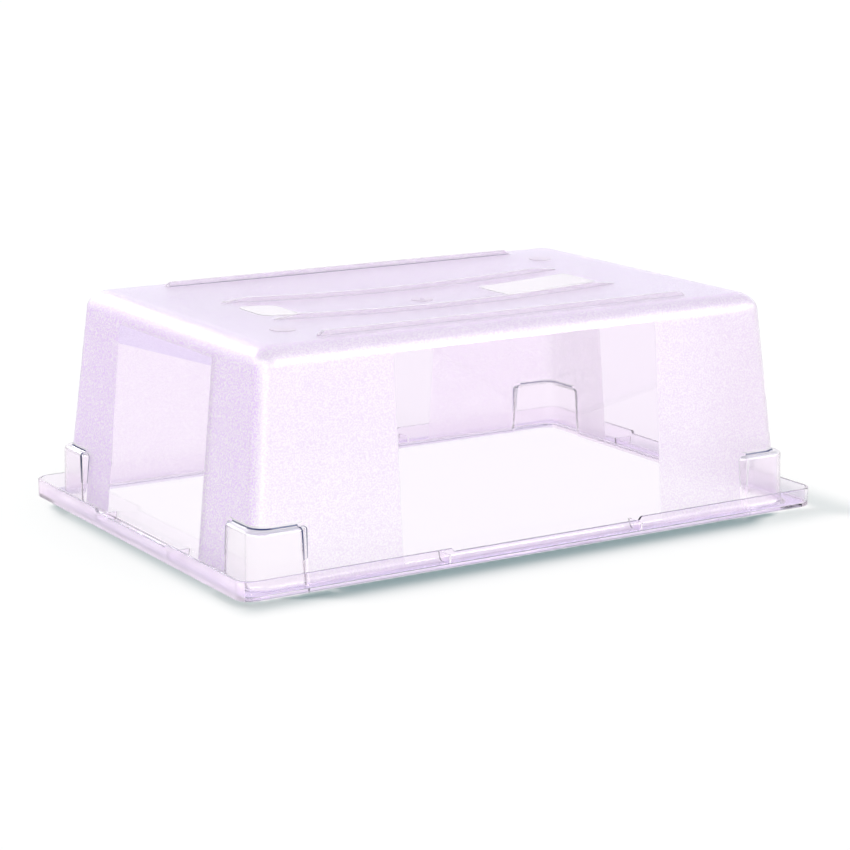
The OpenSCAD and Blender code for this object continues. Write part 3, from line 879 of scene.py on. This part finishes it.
def make_skirt():
    """The skirt, from a section of points (inset, height, follows the low stretches)."""
    section = [(RIM_FOOT, 0.0, False)]
    r = RIM_EDGE_R
    section += [(r - r * sin(a), r - r * cos(a), False) for a in ROUND_ANGLES]
    section += [(0.0, RIM_LINE, False), (0.0, RIM_BAND, False)]
    deep, left_top = len(section) - 2, len(section) + ROUND_STEPS // 2
    r, top = SKIRT_EDGE_R, SKIRT_HIGH - SKIRT_EDGE_R
    section += [(r - r * cos(a), top + r * sin(a), True) for a in ROUND_ANGLES]
    section += [(RIM_THICK - r + r * sin(a), top + r * cos(a), True) for a in ROUND_ANGLES]
    section += [(RIM_THICK, WEB_HIGH, False)]
    web_from = len(section) - 1
    r = GUTTER_R
    section += [(RIM_THICK + r - r * cos(a), RIM_FOOT - r * sin(a), False) for a in ROUND_ANGLES]
    rings = [rim_ring(*s) for s in section]

    def kind(k, j):
        if k == len(rings) - 1 or (k >= web_from and under_web(j)):
            return JOINT
        round_end = COLUMNS[j][:2] in (("corner", 1), ("corner", 3))
        if (k < left_top and on_end(j, 1)) or (k <= deep and (on_end(j, 3) or round_end)):
            return MIST
        # The skirt's underside and a band above its foot have a deeper tint, and a line below that band is
        # dark: painted shade.
        return DEEP_PAINTED_SHADE if k in (0, deep) else PAINTED_SHADE_EDGE if k in (deep - 2, deep - 1) else CLEAR

    make_moulded("rim_skirt", band(rings, kind))


def web_outline(wall_foot, out):
    """Points (out, height) of a web between the wall and the skirt, and which of its edges shows."""
    wall = [(wall_foot - wall_line(z), z) for z in foot_levels()]
    wall += [(wall_foot - wall_line(WEB_HIGH), WEB_HIGH)]
    inside = out - RIM_THICK
    r = GUTTER_R
    skirt = [(inside - r + r * cos(a), RIM_THICK + r - r * sin(a)) for a in ROUND_ANGLES]
    return wall + [(inside, WEB_HIGH)] + skirt, len(wall) - 1


def make_webs():
    """Webs in the CAD's order: two to each side, which turns through quarters from +Y."""
    number = 1
    sides = ((LOW_HALF_LONG, TUB_WIDE, HALF_WIDE), (LOW_HALF_SHORT, TUB_LONG, HALF_LONG))
    for turn in range(4):
        low_half, foot, out = sides[turn % 2]
        outline, shown = web_outline(foot, out)
        for side in (-1, 1):
            near = [(*turned(turn, side * low_half, o), z) for o, z in outline]
            far = [(*turned(turn, side * (low_half + WEB_THICK), o), z) for o, z in outline]
            face = tuple(range(len(outline)))
            solid = thick(near, far, [face], [CLEAR], lambda i, j: CLEAR if i == shown else JOINT)
            make_moulded(f"rim_web_{number}", solid)
            number += 1


# Base


def circle(x, y, r, count=CIRCLE_STEPS):
    angles = [2 * pi * i / count for i in range(count)]
    return [(x + r * cos(a), y + r * sin(a)) for a in angles]


def round_rect(x0, x1, half, r):
    """Rounded rectangle from x0 to x1, anticlockwise, with its straight runs divided."""
    made = []
    centres = [(x1 - r, half - r), (x0 + r, half - r), (x0 + r, r - half), (x1 - r, r - half)]
    for q, (cx, cy) in enumerate(centres):
        for i in range(PANEL_CORNER_STEPS + 1):
            a = radians(90 * q + 90 * i / PANEL_CORNER_STEPS)
            made.append((cx + r * cos(a), cy + r * sin(a)))
        nx, ny = centres[(q + 1) % 4]
        end = radians(90 * q + 90)
        sx, sy = cx + r * cos(end), cy + r * sin(end)
        ex, ey = nx + r * cos(end), ny + r * sin(end)
        parts = max(1, round(dist((sx, sy), (ex, ey)) / PAD_LATTICE))
        made += [(sx + (ex - sx) * i / parts, sy + (ey - sy) * i / parts) for i in range(1, parts)]
    return made


def inside(point, outline):
    x, y = point
    within = False
    for (x0, y0), (x1, y1) in zip(outline, [*outline[1:], outline[0]]):
        if (y0 > y) != (y1 > y) and x < x0 + (x1 - x0) * (y - y0) / (y1 - y0):
            within = not within
    return within


def lattice_in(outline, spacing, clear_of=()):
    """Points of a square lattice inside an outline, clear of its points and those of other outlines."""
    xs, ys = [p[0] for p in outline], [p[1] for p in outline]
    near = [p for o in (outline, *clear_of) for p in o]
    made = []
    for i in range(ceil(min(xs) / spacing), floor(max(xs) / spacing) + 1):
        for j in range(ceil(min(ys) / spacing), floor(max(ys) / spacing) + 1):
            p = (i * spacing, j * spacing)
            if inside(p, outline) and min(dist(p, n) for n in near) > spacing * LATTICE_CLEAR:
                made.append(p)
    return made


def triangles(outline, holes=(), spacing=LATTICE):
    """Triangles over an outline, with other outlines kept as edges: (points, faces)."""
    points, edges = list(outline), []
    for loop in holes:
        start = len(points)
        points += loop
        edges += [(start + i, start + (i + 1) % len(loop)) for i in range(len(loop))]
    points += lattice_in(outline, spacing, holes)
    made = delaunay_2d_cdt([Vector(p) for p in points], edges, [list(range(len(outline)))], 1, TINY)
    return [tuple(p) for p in made[0]], [tuple(f) for f in made[2]]


def nearest(points, outline):
    """Number of the point that lies nearest to each point of an outline."""
    return [min(range(len(points)), key=lambda i: dist(points[i], p)) for p in outline]


def runner_places(tip, ramp):
    """Where a runner has its sections: its tips, and evenly between its ramps."""
    parts = round(2 * (tip - ramp) / RUNNER_STEP)
    body = [(tip - ramp) * (2 * i / parts - 1) for i in range(parts + 1)]
    return [-tip, *body, tip]


def runner_section(x, y, top):
    """A runner's section at x, from its foot on the dished base up to its top."""
    high = top - dish(x, y)
    half = RUNNER_FOOT / 2
    draft = (half - RUNNER_TOP / 2) / RUNNER_HIGH
    edge, line = min(RUNNER_EDGE, high * RUNNER_EDGE_SHARE), min(RUNNER_LINE, high * RUNNER_LINE_SHARE)
    shoulder, upper = half - (high - edge) * draft, half - high * draft - edge
    low = half - line * draft
    return [
        (x, y - half, dish(x, y - half)),
        (x, y + half, dish(x, y + half)),
        (x, y + low, dish(x, y + half) + line),
        (x, y + shoulder, top - edge),
        (x, y + upper, top),
        (x, y - upper, top),
        (x, y - shoulder, top - edge),
        (x, y - low, dish(x, y - half) + line),
    ]


def make_runner(node, y, tip, ramp, level):
    """Runner with drafted sides, RUNNER_HIGH above the height that level gives. Returns its footprint."""
    places = runner_places(tip, ramp)
    tops = [dish(tip, y) + RAMP_LIP if abs(x) == tip else level(x, y) + RUNNER_HIGH for x in places]
    sections = [runner_section(x, y, top) for x, top in zip(places, tops)]
    # Strips of painted shade run along the runners' feet.
    kinds = (JOINT, PAINTED_SHADE_EDGE, TEXTURED, CLEAR, SATIN, CLEAR, TEXTURED, PAINTED_SHADE_EDGE)
    solid = lofted(sections, lambda j: kinds[j], TEXTURED)
    make_moulded(node, solid, RUNNER_SHARP_ANGLE)
    half = RUNNER_FOOT / 2
    return [(x, y - half) for x in places] + [(x, y + half) for x in reversed(places)]


def make_runners():
    """Two level runners, and two that follow the dish. Returns their footprints."""
    made = []
    for n, sign in ((1, -1), (2, 1)):
        y, tip = sign * (FLAT_WIDE - RUNNER_INSET), FLAT_LONG - OUTER_RUNNER_SHORT
        made.append(make_runner(f"outer_runner_{n}", y, tip, OUTER_RAMP, lambda x, y: BASE_HIGH))
        y, tip = sign * INNER_RUNNER_GAP / 2, FLAT_LONG - INNER_RUNNER_SHORT
        made.append(make_runner(f"inner_runner_{n}", y, tip, INNER_RAMP, dish))
    return made


def nub(x, y):
    """Height of the moulding nub in the middle of the base."""
    share = 2 * hypot(x, y) / GATE_NUB_D
    return GATE_NUB_HIGH * sqrt(max(0.0, 1 - share * share))


def raised_patch(outline, inner_outline, kind, extra=lambda x, y: 0.0, loops=()):
    """Low raised patch on the dished base, from its outline at the foot to a smaller one on top."""
    points, faces = triangles(inner_outline, loops, PAD_LATTICE)
    solid = Solid()
    upper = solid.add([(x, y, dish(x, y) + PAD_HIGH + extra(x, y)) for x, y in points])
    order = nearest(points, inner_outline)
    for f in faces:
        solid.face([upper[i] for i in f], kind)
    foot = solid.add(on_dish(outline))
    for i in range(len(outline)):
        n = (i + 1) % len(outline)
        solid.face([foot[i], foot[n], upper[order[n]], upper[order[i]]], kind)
    under_points, under_faces = triangles(outline, spacing=PAD_LATTICE)
    under = solid.add(on_dish(under_points))
    swap = {under[o]: foot[i] for i, o in enumerate(nearest(under_points, outline))}
    for f in under_faces:
        solid.face([swap.get(under[i], under[i]) for i in reversed(f)], JOINT)
    return used_points(solid)


def make_pads():
    """Faint round pads in two opposite corners. Returns their footprints."""
    made = []
    for n, sign in ((1, -1), (2, 1)):
        x, y, r = sign * (FLAT_LONG - PAD_INSET_END), sign * (FLAT_WIDE - PAD_INSET_SIDE), PAD_D / 2
        outline = circle(x, y, r)
        make_moulded(f"round_pad_{n}", raised_patch(outline, circle(x, y, r - PAD_BEVEL), TEXTURED))
        made.append(outline)
    return made


def make_plates():
    """The two smooth rectangles. Returns their footprints."""
    made = []
    end, half = FLAT_LONG - PANEL_INSET, PANEL_WIDE / 2
    for node, x0, x1, r in (
        ("long_smooth_panel", end - LONG_PANEL, end, LONG_PANEL_R),
        ("short_smooth_panel", -end, SHORT_PANEL - end, SHORT_PANEL_R),
    ):
        plate = round_rect(x0, x1, half, r)
        long = x1 - x0
        inner = [(x + PAD_BEVEL * (x0 + x1 - 2 * x) / long, y - PAD_BEVEL * y / half) for x, y in plate]
        outline, inner = ([(x - PANEL_SHIFT, y - PANEL_SHIFT) for x, y in o] for o in (plate, inner))
        # The smooth panels' whiteness is a painted highlight.
        make_moulded(node, raised_patch(outline, inner, PAINTED_GLINT))
        made.append(outline)
    return made


def make_gate():
    """The disc and nub where the moulding was filled. Returns its footprint."""
    outline = circle(0, 0, GATE_D / 2)
    loops = [circle(0, 0, GATE_NUB_D / 2 * share, NUB_STEPS) for share in NUB_LOOPS]
    inner = circle(0, 0, GATE_D / 2 - PAD_BEVEL)
    make_moulded("gate_disc", raised_patch(outline, inner, TEXTURED, nub, loops))
    return outline


def make_base(margin):
    """The dished base and all that stands on it, whose footprints are joints in it."""
    footprints = [*make_runners(), *make_pads(), *make_plates(), make_gate()]
    points, faces = triangles(margin, footprints)
    middles = [tuple(sum(points[i][v] for i in f) / len(f) for v in (0, 1)) for f in faces]
    kinds = [JOINT if any(inside(m, o) for o in footprints) else TEXTURED for m in middles]
    solid = thick(on_dish(points), on_dish(points, -WALL_THICK), faces, kinds)
    make_piece("tub_base", solid, "base_panel")


# Studio

CAMERA_PLACE = (-1.30856, -2.07665, 0.64023)
CAMERA_TURN = (-32.294, 12.889, 0.209)
CAMERA_LENS, CAMERA_SENSOR, CAMERA_FAR = 104.40, 36.0, 100.0
FLOOR_Z, FLOOR_R, FLOOR_STEPS = -0.0003, 30.0, 96
WORLD_LEVEL = 0.21
# The ceiling's colour, and between which heights of a unit direction it comes in
CEILING, CEILING_RANGE = (0.60, 0.54, 0.90, 1.0), (0.35, 0.75)
BOUNCES, TRANSPARENT_BOUNCES = 24, 48
# Panels of light: elevation, azimuth, radiance, half width and height as angles, colour, pieces shone on
WALL_PIECES = ("tub_walls", *(f"corner_lug_{n}_moulded" for n in range(1, 5)))
TOP_PIECES = ("tub_base", "tub_walls")
PLAIN, BLUISH = (1.0, 1.0, 1.0), (0.45, 0.55, 1.0)
PANELS = {
    "front_panel": (28.0, -53.0, 9.0, 24.0, 16.0, PLAIN, WALL_PIECES),
    "left_panel": (28.0, 110.0, 11.0, 24.0, 4.5, PLAIN, WALL_PIECES),
    "bend_panel": (34.0, -165.0, 11.0, 50.0, 8.0, PLAIN, WALL_PIECES),
    "corner_panel": (10.0, -130.0, 8.0, 18.0, 12.0, PLAIN, WALL_PIECES),
    "sky_panel": (16.0, 58.0, 0.24, 45.0, 14.0, BLUISH, TOP_PIECES),
}
PANEL_FAR = 6.0


def make_camera():
    """The photograph's camera."""
    data = bpy.data.cameras.new("camera")
    data.lens = CAMERA_LENS
    data.sensor_width = CAMERA_SENSOR
    data.clip_end = CAMERA_FAR
    camera = in_scene("camera", data)
    bpy.context.scene.camera = camera
    yaw, pitch, roll = (radians(v) for v in CAMERA_TURN)
    right = Vector((cos(yaw), sin(yaw), 0.0))
    ahead = Vector((-sin(yaw), cos(yaw), 0.0))
    up = Vector((0, 0, 1)) * cos(pitch) + ahead * sin(pitch)
    forward = ahead * cos(pitch) - Vector((0, 0, 1)) * sin(pitch)
    rolled_right = right * cos(roll) + up * sin(roll)
    rolled_up = up * cos(roll) - right * sin(roll)
    turn = Matrix((rolled_right, rolled_up, -forward)).transposed()
    camera.matrix_world = Matrix.Translation(CAMERA_PLACE) @ turn.to_4x4()


def make_floor():
    """A wide white floor, just below the rim."""
    mesh = bpy.data.meshes.new("floor")
    work = bmesh.new()
    bmesh.ops.create_circle(work, cap_ends=True, segments=FLOOR_STEPS, radius=FLOOR_R)
    work.to_mesh(mesh)
    work.free()
    ground = in_scene("floor", mesh)
    ground.location.z = FLOOR_Z
    mesh.materials.append(white_material("floor_white", "ShaderNodeBsdfDiffuse"))


def aim_lamp(name, data, elevation, azimuth, far=0.0):
    """A lamp that shines on the origin from that direction, and isn't seen through the plastic."""
    lamp = in_scene(name, data)
    e, a = radians(elevation), radians(azimuth)
    source = Vector((cos(e) * cos(a), cos(e) * sin(a), sin(e)))
    lamp.location = source * far
    lamp.rotation_euler = (-source).to_track_quat("-Z", "Y").to_euler()
    lamp.visible_transmission = False
    return lamp


def make_suns():
    """Suns that light the box and the floor, and aren't reflected."""
    for name, (elevation, azimuth, strength, softness, casts) in SUNS.items():
        data = bpy.data.lights.new(name, "SUN")
        data.energy = strength
        data.angle = radians(softness)
        data.use_shadow = casts
        aim_lamp(name, data, elevation, azimuth).visible_glossy = False


def make_panels():
    """Panels that are only reflected, and only by some pieces, as the thin rim would sparkle."""
    for name, (elevation, azimuth, radiance, half_width, half_height, colour, pieces) in PANELS.items():
        data = bpy.data.lights.new(name, "AREA")
        data.color = colour
        data.shape = "ELLIPSE"
        data.size = 2 * PANEL_FAR * tan(radians(half_width))
        data.size_y = 2 * PANEL_FAR * tan(radians(half_height))
        data.energy = radiance * pi * pi * data.size * data.size_y / 4
        lamp = aim_lamp(name, data, elevation, azimuth, PANEL_FAR)
        lamp.visible_camera = False
        lamp.visible_diffuse = False
        shone_on = bpy.data.collections.new(f"{name}_shone_on")
        for piece in pieces:
            shone_on.objects.link(bpy.data.objects[piece])
        lamp.light_linking.receiver_collection = shone_on


def make_world():
    """A white backdrop with a darker ceiling for what sees it, and a plain level of light for the rest."""
    world = bpy.data.worlds.new("studio")
    bpy.context.scene.world = world
    world.use_nodes = True
    world.cycles.sampling_method = "NONE"
    world.node_tree.nodes.clear()
    nodes = Nodes(world.node_tree)
    height = nodes.split(nodes.add("ShaderNodeTexCoord").outputs["Generated"])[2]
    path = nodes.add("ShaderNodeLightPath").outputs
    seen = nodes.most(path["Is Camera Ray"], path["Is Glossy Ray"])
    seen = nodes.most(seen, path["Is Transmission Ray"])
    above = nodes.times(seen, nodes.stretch(height, *CEILING_RANGE))
    colour = nodes.blend(above, WHITE, CEILING)
    inputs = {"Color": colour, "Strength": nodes.mix(seen, WORLD_LEVEL, 1.0)}
    background = nodes.add("ShaderNodeBackground", inputs)
    nodes.add("ShaderNodeOutputWorld", {"Surface": background.outputs[0]})


make_camera()
margin = make_walls()
make_flange()
make_skirt()
make_webs()
make_base(margin)
make_floor()
make_suns()
make_panels()
make_world()

scene = bpy.context.scene
scene.view_settings.view_transform = "Standard"
scene.cycles.max_bounces = BOUNCES
scene.cycles.transmission_bounces = BOUNCES
scene.cycles.transparent_max_bounces = TRANSPARENT_BOUNCES
